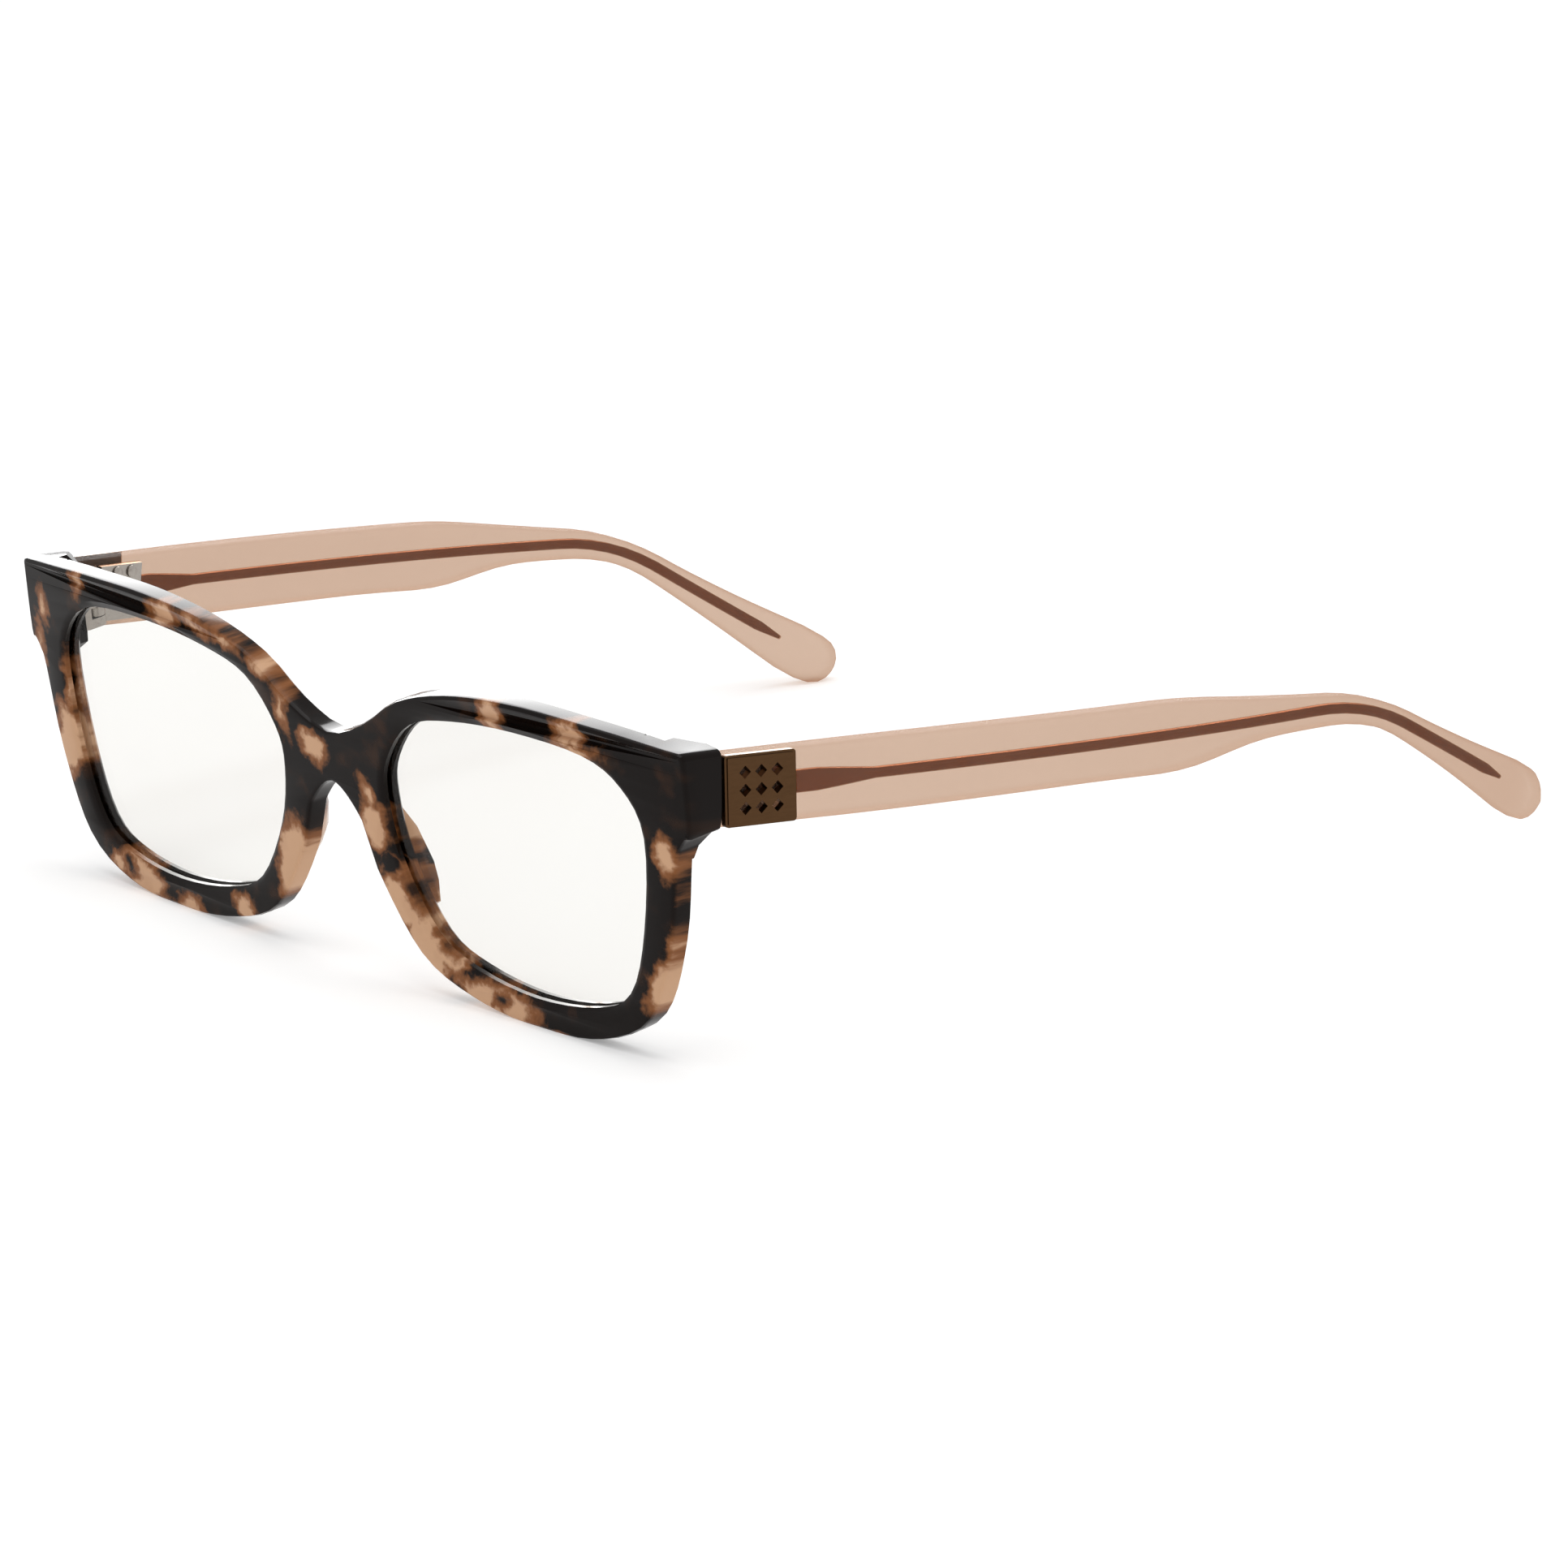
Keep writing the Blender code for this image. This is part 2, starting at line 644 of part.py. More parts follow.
def temple_section(along):
    """Half heights above and below the middle line, and thickness."""
    rows = TEMPLE_SECTIONS
    last = len(rows) - 1
    i = next((k for k in range(1, last) if along <= rows[k][0]), last)
    share = min(1.0, (along - rows[i - 1][0]) / (rows[i][0] - rows[i - 1][0]))
    places = [row[0] for row in rows]
    above, below, thick = (blend([row[k] for row in rows], places, i, share) for k in (1, 2, 3))
    left = max(0.0, temple_end() - along)
    if left < TIP_ROUND:
        nose = math.sqrt(max(0.0, 1 - (1 - left / TIP_ROUND) ** 2))
        above, below = above * nose, below * nose
        thick *= 0.55 + 0.45 * nose
    return above, below, thick * TEMPLE_THICK


def bow(s):
    """How far the temple's outer face stands out from the hinge end."""
    return math.tan(TEMPLE_SPLAY) * s - TEMPLE_BOW * (max(0.0, s) / temple_end()) ** 3


def temple_root():
    return on_front_flat(END_HALF - TEMPLE_FLUSH, HINGE_V, block_back(HINGE_V) + JOINT_GAP)


def on_front_flat(u, v, w):
    """A place behind the front's face, without the end block's falling top."""
    return leaned(u, w + front_sag(u), v)


def find_drop(floor):
    """The angle below level at which the temple tips come down to the floor the rims stand on."""
    place = temple_root()
    low, high = 0.0, 0.5
    for _ in range(60):
        angle = (low + high) / 2
        lowest = place.z
        for k in range(400):
            along = temple_end() * (0.8 + 0.2 * k / 399)
            s, h, turn = middle_line(along)
            below = temple_section(along)[1]
            s, h = s - below * math.sin(turn), h - below * math.cos(turn)
            lowest = min(lowest, place.z - s * math.sin(angle) + h * math.cos(angle))
        if lowest > floor:
            low = angle
        else:
            high = angle
    return (low + high) / 2


class Temple:
    """Turns a temple's own s, h, out into places of the standing glasses."""

    def __init__(self, drop):
        self.place = temple_root()
        self.back = Vector((0, math.cos(drop), -math.sin(drop)))
        self.up = Vector((0, math.sin(drop), math.cos(drop)))

    def at(self, s, h, out):
        return self.place + self.back * s + self.up * h + Vector((bow(s) + out, 0, 0))

    def mitre(self, h, out):
        """How far along s the end block's back face, with its gap, is met at this height."""
        s = 0.0
        for _ in range(4):
            point = self.at(s, h, out)
            s += block_back(front_height(point)) + JOINT_GAP - front_depth(point)
        return s

    def box(self, low, high):
        rows = []
        for out in (low[2], high[2]):
            rows.append([self.at(s, h, out) for s, h in box(low[:2], high[:2])])
        return rings_to_solid(rows)

    def rod(self, s, h, radius, sides, stops):
        """A round bar across the temple, as radius scale and out pairs."""
        rows = []
        for scale, out in stops:
            rows.append([self.at(x, y, out) for x, y in circle(radius * scale, sides, (s, h))])
        return rings_to_solid(rows)


def section_ring(above, below, thick, edge, sides):
    """Rounded outline of one cross-section as height and out, the outer face at out 0."""
    edge = min(edge, thick * 0.45, (above + below) * 0.45)
    upper, lower = above - edge, edge - below
    middles = ((upper, -edge), (upper, edge - thick), (lower, edge - thick), (lower, -edge))
    ring = []
    for corner, (h, out) in enumerate(middles):
        for k in range(sides + 1):
            turn = math.radians(90 - 90 * corner - 90 * k / sides)
            ring.append((h + edge * math.cos(turn), out + edge * math.sin(turn)))
    return ring


def wire_section(along, grow):
    """Half height and half thickness of the core at a distance along the temple."""
    share = ease((along - SHIELD_LONG) / SHIELD_TAPER)
    tall = SHIELD_TALL / 2 + (WIRE_R - SHIELD_TALL / 2) * share
    thick = SHIELD_THICK / 2 + (WIRE_R - SHIELD_THICK / 2) * share
    left = temple_end() - WIRE_BEFORE_TIP - along
    point = 0.35 + 0.65 * ease(left / WIRE_POINT)
    return tall * point + grow, thick * point + grow


def wire_ring(along, grow):
    tall, thick = wire_section(along, grow)
    cut = 0.42
    corners = ((1, cut), (cut, 1), (-cut, 1), (-1, cut), (-1, -cut), (-cut, -1), (cut, -1), (1, -cut))
    middle = -temple_section(along)[2] / 2
    return [(WIRE_H + a * tall, middle - b * thick) for a, b in corners]


def stations(first, last, extra):
    """Distances along the temple, closer together where its shape changes."""
    rows = {first, last}
    along = first
    while along < last - 1.5:
        near = 3.0 if along > 64 else SECTION_STEP
        along += near
        rows.add(min(along, last))
    rows |= {x for x in extra if first < x < last}
    ordered = sorted(rows)
    return [a for i, a in enumerate(ordered) if i == 0 or a - ordered[i - 1] > 0.15]


def along_temple(temple, along, ring):
    s, h, turn = middle_line(along)
    return [temple.at(s + y * math.sin(turn), h + y * math.cos(turn), out) for y, out in ring]


def build_temple(name, side, temple, pin):
    end = temple_end()
    tail = [end - TIP_ROUND * (1 - math.cos(math.radians(t))) for t in (90, 70, 50, 34, 20, 9)]
    outer = []
    rows = stations(0.0, end - TIP_ROUND, ()) + tail[1:]
    for along in rows:
        outer.append(along_temple(temple, along, section_ring(*temple_section(along), TEMPLE_EDGE, 3)))
    wire_end = end - WIRE_BEFORE_TIP
    tunnel_rows = stations(0.0, wire_end, (SHIELD_LONG, SHIELD_LONG + SHIELD_TAPER)) + [wire_end + WIRE_FIT]
    tunnel = [along_temple(temple, along, wire_ring(along, WIRE_FIT)) for along in tunnel_rows]
    for rings, flat in ((outer, section_ring(*temple_section(0.0), TEMPLE_EDGE, 3)),
                        (tunnel, wire_ring(0.0, WIRE_FIT))):
        rings[0] = [temple.at(temple.mitre(h, out), h, out) for h, out in flat]
    size, bore = len(outer[0]), len(tunnel[0])
    points = [p for ring in outer + tunnel for p in ring]
    faces = []
    for level in range(len(outer) - 1):
        low = [level * size + i for i in range(size)]
        faces += bridge(low, [i + size for i in low])
    first = size * len(outer)
    faces.append(tuple(range(first - size, first)))
    for level in range(len(tunnel) - 1):
        low = [first + level * bore + i for i in range(bore)]
        faces += bridge(low, [i + bore for i in low])
    faces.append(tuple(range(len(points) - bore, len(points))))
    mouth = section_ring(*temple_section(0.0), TEMPLE_EDGE, 3) + wire_ring(0.0, WIRE_FIT)
    numbers = list(range(size)) + list(range(first, first + bore))
    caps = fill(mouth, [list(range(size)), list(range(size, size + bore))])
    faces += [tuple(numbers[i] for i in triangle) for triangle in caps]
    obj = add_mesh(name, points, faces, side=side, finish="temple", pin=pin)

    high = temple_section(0.0)[0] + 3
    floor = PLATE_PROUD - PLATE_THICK - PLATE_FIT
    rows = []
    for out in (floor, 4.0):
        ring = []
        for s, h in box((-6.0, -high), (PLATE_LONG + PLATE_FIT, high)):
            shift = temple.mitre(h, 0.0) if s > 0 else 0.0
            ring.append(temple.at(s + shift, h, out))
        rows.append(ring)
    boolean(obj, add_mesh(name + "_plate_seat", *rings_to_solid(rows), side=side, pin=pin), "DIFFERENCE")
    leaf_floor = LEAF_SUNK + SINK_GAP - TEMPLE_THICK
    seat = temple.box((LEAF_START - SINK_GAP, LEAF_LOW - SINK_GAP, leaf_floor - 4),
                      (LEAF_END + SINK_GAP, LEAF_HIGH + SINK_GAP, leaf_floor))
    boolean(obj, add_mesh(name + "_leaf_seat", *seat, side=side, pin=pin), "DIFFERENCE")
    for i, s in enumerate(RIVET_S):
        hole = temple.rod(s, RIVET_H, RIVET_R + RIVET_FIT, 12, ((1, 1.0), (1, -TEMPLE_THICK - 1)))
        boolean(obj, add_mesh(f"{name}_rivet_hole_{i}", *hole, side=side, pin=pin), "DIFFERENCE")


def build_wire(name, side, temple, pin):
    last = temple_end() - WIRE_BEFORE_TIP - WIRE_FIT
    rings = [along_temple(temple, a, wire_ring(a, 0.0))
             for a in stations(WIRE_RECESS, last, (SHIELD_LONG, SHIELD_LONG + SHIELD_TAPER))]
    add_mesh(name, *rings_to_solid(rings), side=side, finish="wire", pin=pin)


def build_plate(name, side, temple, pin):
    above, below, _ = temple_section(0.0)

    def outline(inset):
        ring = []
        corners = ((PLATE_LONG, above, 0), (0.0, above, 90), (0.0, -below, 180), (PLATE_LONG, -below, 270))
        for s, h, first in corners:
            across = s - PLATE_CORNER if s else PLATE_CORNER
            up = h - math.copysign(PLATE_CORNER, h)
            for k in range(4):
                turn = math.radians(first + 30 * k)
                ring.append((across + (PLATE_CORNER - inset) * math.cos(turn),
                             up + (PLATE_CORNER - inset) * math.sin(turn)))
        return ring

    step = PLATE_PROUD - PLATE_STEP_DEEP
    rings = []
    for inset, out in ((0.0, PLATE_PROUD - PLATE_THICK), (0.0, step), (PLATE_STEP, step),
                       (PLATE_STEP, PLATE_PROUD)):
        rings.append([temple.at(s + temple.mitre(h, 0.0), h, out) for s, h in outline(inset)])
    plate = add_mesh(name, *rings_to_solid(rings), side=side, finish="plate", pin=pin)
    middle = (WINDOWS - 1) / 2
    points, faces = [], []
    for i in range(WINDOWS):
        for j in range(WINDOWS):
            s = PLATE_LONG / 2 + (i - middle) * WINDOW_PITCH
            h = (above - below) / 2 + (j - middle) * WINDOW_PITCH
            diamond = ((WINDOW_SIZE, 0), (0, WINDOW_SIZE), (-WINDOW_SIZE, 0), (0, -WINDOW_SIZE))
            rows = []
            for out in (-2.0, 2.0):
                rows.append([temple.at(s + a + temple.mitre(h, 0.0), h + b, out) for a, b in diamond])
            more, quads = rings_to_solid(rows)
            faces += [tuple(k + len(points) for k in quad) for quad in quads]
            points += more
    boolean(plate, add_mesh(name + "_windows", points, faces, side=side, pin=pin), "DIFFERENCE")


def build_temple_hinge(name, side, temple, pin):
    inner = LEAF_SUNK - TEMPLE_THICK
    leaf = temple.box((LEAF_START, LEAF_LOW, inner - LEAF_THICK), (LEAF_END, LEAF_HIGH, inner))
    body = add_mesh(name, *leaf, side=side, finish="steel", pin=pin)
    knuckle = arc(90, 270, 10)
    place, right, back, _ = hinge_place()
    join = temple.at(WEB_JOIN, 0.0, inner - LEAF_THICK / 2) - place
    x, y = join.dot(right), join.dot(back)
    knuckle += [(BARREL_R - 0.05, -BARREL_R), (BARREL_R + 0.05, 0.5), (x, y), (x - 0.6, y + 0.3)]
    for i in range(1, BARRELS, 2):
        piece = add_mesh(f"{name}_barrel_{i}", *prism(knuckle, *barrel_span(i)), side=side, pin=pin)
        boolean(body, piece, "UNION")
    tall = hinge_half_tall()
    bore = add_mesh(name + "_bore", *prism(circle(SCREW_R + SCREW_FIT, 16), -tall - 1, tall + 1),
                    side=side, pin=pin)
    boolean(body, bore, "DIFFERENCE")
    for i, s in enumerate(RIVET_S):
        hole = temple.rod(s, RIVET_H, RIVET_R + RIVET_FIT, 12, ((1, 1.0), (1, -TEMPLE_THICK - 3)))
        boolean(body, add_mesh(f"{name}_rivet_hole_{i}", *hole, side=side, pin=pin), "DIFFERENCE")


def build_rivet(name, side, temple, pin, s):
    outer = PLATE_PROUD - PLATE_THICK - 2 * PLATE_FIT
    leaf = LEAF_SUNK - TEMPLE_THICK - LEAF_THICK - SINK_GAP
    wide = RIVET_HEAD_R / RIVET_R
    stops = ((1, outer), (1, leaf), (wide, leaf), (wide * 0.95, leaf - RIVET_HEAD * 0.5),
             (wide * 0.6, leaf - RIVET_HEAD))
    add_mesh(name, *temple.rod(s, RIVET_H, RIVET_R, 12, stops), side=side, finish="steel", pin=pin)


def main():
    for obj in list(bpy.data.objects):
        bpy.data.objects.remove(obj, do_unlink=True)
    root = bpy.data.objects.new("assembly", None)
    bpy.context.collection.objects.link(root)
    front, floor = build_front(root)
    drop = find_drop(floor)
    for side, hand, lift in ((1, "left", LEFT_LIFT), (-1, "right", 0.0)):
        temple = Temple(drop - lift)
        add_mesh(f"lens_{hand}", *lens_solid(), side=side, finish="lens", root=root)
        add_mesh(f"nose_pad_{hand}", *pad_solid(), side=side, finish="front", root=root)
        build_front_hinge(f"front_hinge_{hand}", side, root, front)
        build_screw(f"hinge_screw_{hand}", side, root)
        pin = bpy.data.objects.new(f"hinge_axis_{hand}", None)
        bpy.context.collection.objects.link(pin)
        pin.parent = root
        place = hinge_place()[0]
        pin["place"] = (place.x * side, place.y, place.z)
        pin.location = Vector(pin["place"]) * MM
        build_temple(f"temple_{hand}", side, temple, pin)
        build_wire(f"core_wire_{hand}", side, temple, pin)
        build_plate(f"temple_plaque_{hand}", side, temple, pin)
        build_temple_hinge(f"temple_hinge_{hand}", side, temple, pin)
        for i, s in enumerate(RIVET_S):
            build_rivet(f"rivet_{('front', 'rear')[i]}_{hand}", side, temple, pin, s)
    bpy.context.view_layer.update()
    corners = []
    for obj in bpy.data.objects:
        if obj.type == "MESH" and not obj.hide_render:
            corners += [obj.matrix_world @ v.co for v in obj.data.vertices]
    depth = [p.y for p in corners]
    root.location = (0, -(min(depth) + max(depth)) / 2, -min(p.z for p in corners))


main()
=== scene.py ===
import math

import bpy
from bpy.props import FloatProperty, FloatVectorProperty, PointerProperty
from mathutils import Matrix, Vector

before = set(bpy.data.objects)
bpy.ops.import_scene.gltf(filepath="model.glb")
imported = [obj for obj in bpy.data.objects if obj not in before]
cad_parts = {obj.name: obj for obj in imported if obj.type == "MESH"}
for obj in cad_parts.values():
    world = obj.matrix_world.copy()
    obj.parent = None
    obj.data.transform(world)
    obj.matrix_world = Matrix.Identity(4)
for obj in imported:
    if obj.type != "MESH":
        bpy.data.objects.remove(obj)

bl_info = {
    "name": "Eyeglasses with a mottled front",
    "version": (1, 0, 0),
    "blender": (4, 5, 0),
    "location": "View3D > Sidebar > Glasses",
    "description": "Finishes a packed pair of acetate eyeglasses and sets it on a white studio floor",
    "category": "Object",
}

MM = 0.001
SIDES = ("left", "right")

# Camera, fitted to the picture: angles in degrees, places, lens and sensor in millimetres
VIEW_AROUND = 48.25
VIEW_HEIGHT = 15.29
VIEW_ROLL = 0.414
VIEW_DISTANCE = 1245.6
VIEW_MIDDLE = (2.629, 11.25)
VIEW_LENS = 214.79
VIEW_SENSOR = 36

# Stage, in metres
FLOOR_REACH = 8.0
FLOOR_GLOW = 0.26
BEHIND_PLACE = (-0.87, 0.66, 0.50)
BEHIND_SIZE = 0.9
ABOVE_PLACE = (0.0, -0.1, 1.2)
ABOVE_SIZE = 1.0
LIGHTS_AIM = (0, 0, 0.02)

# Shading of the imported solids
WELD_REACH = 0.000001
SHARP_ANGLE = math.radians(35)
FLAT_FACE_WEIGHT = 100

# Mottle: fineness of the noise per millimetre, reaches and spans in millimetres
DEPTH_SHARE = 0.15
THROUGH = 1000
DRIFT_FINE = 0.42
DRIFT_REACH = 3.4
RAGGED_FINE = 1.0
RAGGED_REACH = 1.2
CLOUD_FINE = 0.22
CLOUD_SPAN = (0.52, 0.72)
CLOUD_SHARE = 0.10
BROWN_SPAN = (-0.9, 0.1)
PALE_SPAN = (0.0, 0.9)
PAD_LIFT = 0.8

# Grain of the metals: fineness per millimetre along x, y and z
WIRE_GRAIN = (4.0, 0.3, 4.0)
PLATE_GRAIN = (3.0, 0.4, 3.0)
STEEL_GRAIN = (2.0, 2.0, 2.0)
GRAIN_DEPTH = 0.00005

# Pale patches of the mottled sheet: across, height, half width, half height, turn in degrees
PALE_PATCHES = (
    # left rim: top, outer side, bottom, nasal side
    (33, 41, 2, 2.5, 0), (47, 41, 2.5, 1.5, 0), (48, 39, 3, 1, 0),
    (62, 28, 1.5, 2.5, 0), (64, 20, 0.7, 2.5, 0), (62, 15, 1, 2, 0), (60, 10, 2.5, 4.5, -35),
    (38, -1, 2.5, 1, 0), (28, 1, 8, 3, 0), (18, 6, 4, 7, 45),
    (12, 12, 3, 5, 25), (8, 21, 2.5, 3, 10), (7, 25, 1, 2, 25),
    # bridge
    (-3, 29, 2.5, 2, 0),
    # right rim: top, outer side, bottom, nasal side
    (-9, 33, 0.8, 2.5, 10), (-13, 38, 2, 1, -45), (-20, 40, 2.5, 0.8, -20), (-26, 41, 2.5, 0.7, -10),
    (-33, 41, 3, 1.5, 0), (-53, 41, 1, 1.5, 0),
    (-62, 36, 1, 2, 0), (-64, 30, 0.7, 3, 0), (-58, 25, 0.7, 3, 0), (-60, 18, 3.5, 5, 0),
    (-50, 3, 1.5, 1.5, -30), (-44, 2, 5, 2.5, -20), (-34, 0, 3, 2, 0), (-22, 3, 2, 2, 0),
    (-10, 12, 3, 6, -15),
)
# Dark spots that lie over the pale patches
DARK_SPOTS = (
    (10, 16, 2.5, 2, 0), (14, 13, 1, 2.5, 30), (19, 8, 1, 2.5, 45), (21, 2, 1.5, 2, 40),
    (24, 4, 2, 1, 10), (30, 2, 1.5, 1, 30),
    (-13, 15, 1, 2, -20), (-38, 1, 2, 1.5, 0), (-47, 3, 1.5, 1, -20), (-57, 11, 2.5, 2, 0),
    (-62, 21, 1, 2, 0),
)


class TortoiseLook(bpy.types.PropertyGroup):
    dark: FloatVectorProperty(name="Dark", description="Colour of the dark blotches",
                              subtype="COLOR", default=(0.0035, 0.0013, 0.0006))
    brown: FloatVectorProperty(name="Brown", description="Colour of the fringe round a blotch",
                               subtype="COLOR", default=(0.22, 0.082, 0.028))
    pale: FloatVectorProperty(name="Pale", description="Colour of the pale patches",
                              subtype="COLOR", default=(0.56, 0.335, 0.20))
    gloss: FloatProperty(name="Gloss", description="Refractive index of the polished surface", default=1.2)


class TempleLook(bpy.types.PropertyGroup):
    tint: FloatVectorProperty(name="Tint", description="Light that one face of the temple lets through",
                              subtype="COLOR", default=(0.80, 0.69, 0.61))
    body: FloatVectorProperty(name="Body", description="Colour of the acetate's own surface",
                              subtype="COLOR", default=(0.62, 0.48, 0.39))
    share: FloatProperty(name="Share", description="Part of the look that the surface gives",
                         subtype="FACTOR", default=0.08)


class MetalLook(bpy.types.PropertyGroup):
    bronze: FloatVectorProperty(name="Bronze", description="Colour of the temple plates",
                                subtype="COLOR", default=(0.082, 0.042, 0.019))
    steel: FloatVectorProperty(name="Steel", description="Colour of hinges, screws and rivets",
                               subtype="COLOR", default=(0.34, 0.31, 0.28))
    wire: FloatVectorProperty(name="Wire", description="Colour of the core wires",
                              subtype="COLOR", default=(0.27, 0.085, 0.006))


class LensLook(bpy.types.PropertyGroup):
    clear: FloatProperty(name="Clear", description="Light that one face of a lens lets through",
                         subtype="FACTOR", default=0.94)


class StageLook(bpy.types.PropertyGroup):
    floor: FloatVectorProperty(name="Floor", description="Colour of the studio floor",
                               subtype="COLOR", default=(0.82, 0.82, 0.82))
    around: FloatProperty(name="Around", description="Level of the even light around the glasses",
                          default=0.72)
    back: FloatProperty(name="Back", description="Power of the soft light behind the glasses",
                        unit="POWER", default=21.0)
    above: FloatProperty(name="Above", description="Power of the soft light overhead",
                         unit="POWER", default=6.5)


class Value:
    """A socket of a node tree, so that shader maths can be written as sums."""

    def __init__(self, tree, socket):
        self.tree = tree
        self.socket = socket

    def plug(self, target, value):
        if isinstance(value, Value):
            self.tree.links.new(value.socket, target)
        else:
            target.default_value = value

    def node(self, kind, settings=None, out=0, **inputs):
        """Another node: its settings first, then its sockets by name or number."""
        made = self.tree.nodes.new(kind)
        for key, value in (settings or {}).items():
            setattr(made, key, value)
        for key, value in inputs.items():
            self.plug(made.inputs[int(key[1:]) if key[1:].isdigit() else key.replace("_", " ")], value)
        return Value(self.tree, made.outputs[out])

    def maths(self, what, *values):
        sockets = {f"i{k}": value for k, value in enumerate(values)}
        return self.node("ShaderNodeMath", {"operation": what}, **sockets)

    def __add__(self, other):
        return self.maths("ADD", self, other)

    def __sub__(self, other):
        return self.maths("SUBTRACT", self, other)

    def __rsub__(self, other):
        return self.maths("SUBTRACT", other, self)

    def __mul__(self, other):
        return self.maths("MULTIPLY", self, other)

    __radd__ = __add__
    __rmul__ = __mul__

    def highest(self, other):
        return self.maths("MAXIMUM", self, other)

    def lowest(self, other):
        return self.maths("MINIMUM", self, other)

    def step(self, low, high):
        """Smooth step from 0 at low to 1 at high."""
        return self.node("ShaderNodeMapRange", {"interpolation_type": "SMOOTHSTEP"},
                         Value=self, From_Min=low, From_Max=high)

    def blend(self, first, second):
        """The first colour at 0, the second at 1."""
        return self.node("ShaderNodeMix", {"data_type": "RGBA"}, 2, i0=self, i6=first, i7=second)


def colour(rgb):
    return (rgb[0], rgb[1], rgb[2], 1.0)


def new_material(name):
    material = bpy.data.materials.new(name)
    material.use_nodes = True
    tree = material.node_tree
    tree.nodes.remove(tree.nodes["Principled BSDF"])
    output = tree.nodes["Material Output"]
    return material, Value(tree, output.inputs["Surface"])


def finish_with(end, shader):
    end.tree.links.new(shader.socket, end.socket)


def in_millimetres(end):
    """The piece's own coordinates in millimetres."""
    place = end.node("ShaderNodeTexCoord", None, 3)
    return end.node("ShaderNodeVectorMath", {"operation": "SCALE"}, i0=place, Scale=1 / MM)


def noise(end, place, scale, detail=3.0, out=0):
    return end.node("ShaderNodeTexNoise", None, out, Vector=place, Scale=scale, Detail=detail)


def bumped(end, height, strength, distance):
    return end.node("ShaderNodeBump", None, 0, Height=height, Strength=strength, Distance=distance)


def patch_field(end, place, patches):
    """Millimetres inside the nearest of the patches; below zero outside them all."""
    field = None
    for across, height, wide, tall, turn in patches:
        local = end.node("ShaderNodeMapping", {"vector_type": "TEXTURE"}, Vector=place,
                         Location=(across, 0, height), Rotation=(0, math.radians(-turn), 0),
                         Scale=(wide, THROUGH, tall))
        reach = end.node("ShaderNodeVectorMath", {"operation": "LENGTH"}, 1, i0=local)
        inside = (1.0 - reach) * min(wide, tall)
        field = inside if field is None else field.highest(inside)
    return field


def tortoise(name, look, lift=0.0):
    """Mottled acetate: soft blotches that run through the sheet's thickness."""
    material, end = new_material(name)
    place = in_millimetres(end)
    flat = end.node("ShaderNodeVectorMath", {"operation": "MULTIPLY"}, i0=place, i1=(1, DEPTH_SHARE, 1))
    drift = noise(end, flat, DRIFT_FINE, 4.0, 1)
    drift = end.node("ShaderNodeVectorMath", {"operation": "SUBTRACT"}, i0=drift, i1=(0.5, 0.5, 0.5))
    drift = end.node("ShaderNodeVectorMath", {"operation": "SCALE"}, i0=drift, Scale=DRIFT_REACH)
    warped = end.node("ShaderNodeVectorMath", {"operation": "ADD"}, i0=flat, i1=drift)
    field = patch_field(end, warped, PALE_PATCHES) + lift
    field = field.lowest(0.0 - patch_field(end, warped, DARK_SPOTS))
    field = field + (noise(end, flat, RAGGED_FINE, 4.0) - 0.5) * RAGGED_REACH
    cloud = noise(end, flat, CLOUD_FINE, 2.0).step(*CLOUD_SPAN) * CLOUD_SHARE
    shade = field.step(*BROWN_SPAN).blend(colour(look.dark), colour(look.brown))
    shade = field.step(*PALE_SPAN).blend(shade, colour(look.pale))
    shade = cloud.blend(shade, colour(look.brown))
    rough = noise(end, place, 1.1) * 0.08 + 0.08
    shader = end.node("ShaderNodeBsdfPrincipled", None, 0, Base_Color=shade, Roughness=rough,
                      IOR=look.gloss)
    finish_with(end, shader)
    return material


def blush(name, look):
    """Clear pink acetate: mostly tint, deeper at glancing edges, with a thin satin surface."""
    material, end = new_material(name)
    place = in_millimetres(end)
    cloud = noise(end, place, 0.12, 2.0)
    body = (cloud * 0.5).blend(colour(look.body), colour([c * 0.93 for c in look.body]))
    facing = end.node("ShaderNodeLayerWeight", None, 1, Blend=0.35)
    tint = (facing * 0.8).blend(colour(look.tint), colour([c * c for c in look.tint]))
    rough = noise(end, place, 0.8) * 0.1 + 0.22
    surface = end.node("ShaderNodeBsdfPrincipled", None, 0, Base_Color=body, Roughness=rough, IOR=1.2)
    through = end.node("ShaderNodeBsdfTransparent", None, 0, Color=tint)
    share = cloud * 0.04 + (look.share - 0.02)
    finish_with(end, end.node("ShaderNodeMixShader", None, 0, i0=share, i1=through, i2=surface))
    return material


def clear_lens(name, look):
    """A plain lens: nearly all clear, with a faint even gloss."""
    material, end = new_material(name)
    smear = noise(end, in_millimetres(end), 0.05, 2.0)
    tint = smear.blend(colour((look.clear, look.clear * 0.998, look.clear * 0.985)),
                       colour((look.clear * 0.99, look.clear * 0.985, look.clear * 0.97)))
    through = end.node("ShaderNodeBsdfTransparent", None, 0, Color=tint)
    gloss = end.node("ShaderNodeBsdfGlossy", None, 0, Roughness=0.03)
    share = end.node("ShaderNodeLayerWeight", None, 1, Blend=0.3) * 0.05 + 0.004
    finish_with(end, end.node("ShaderNodeMixShader", None, 0, i0=share, i1=through, i2=gloss))
    return material


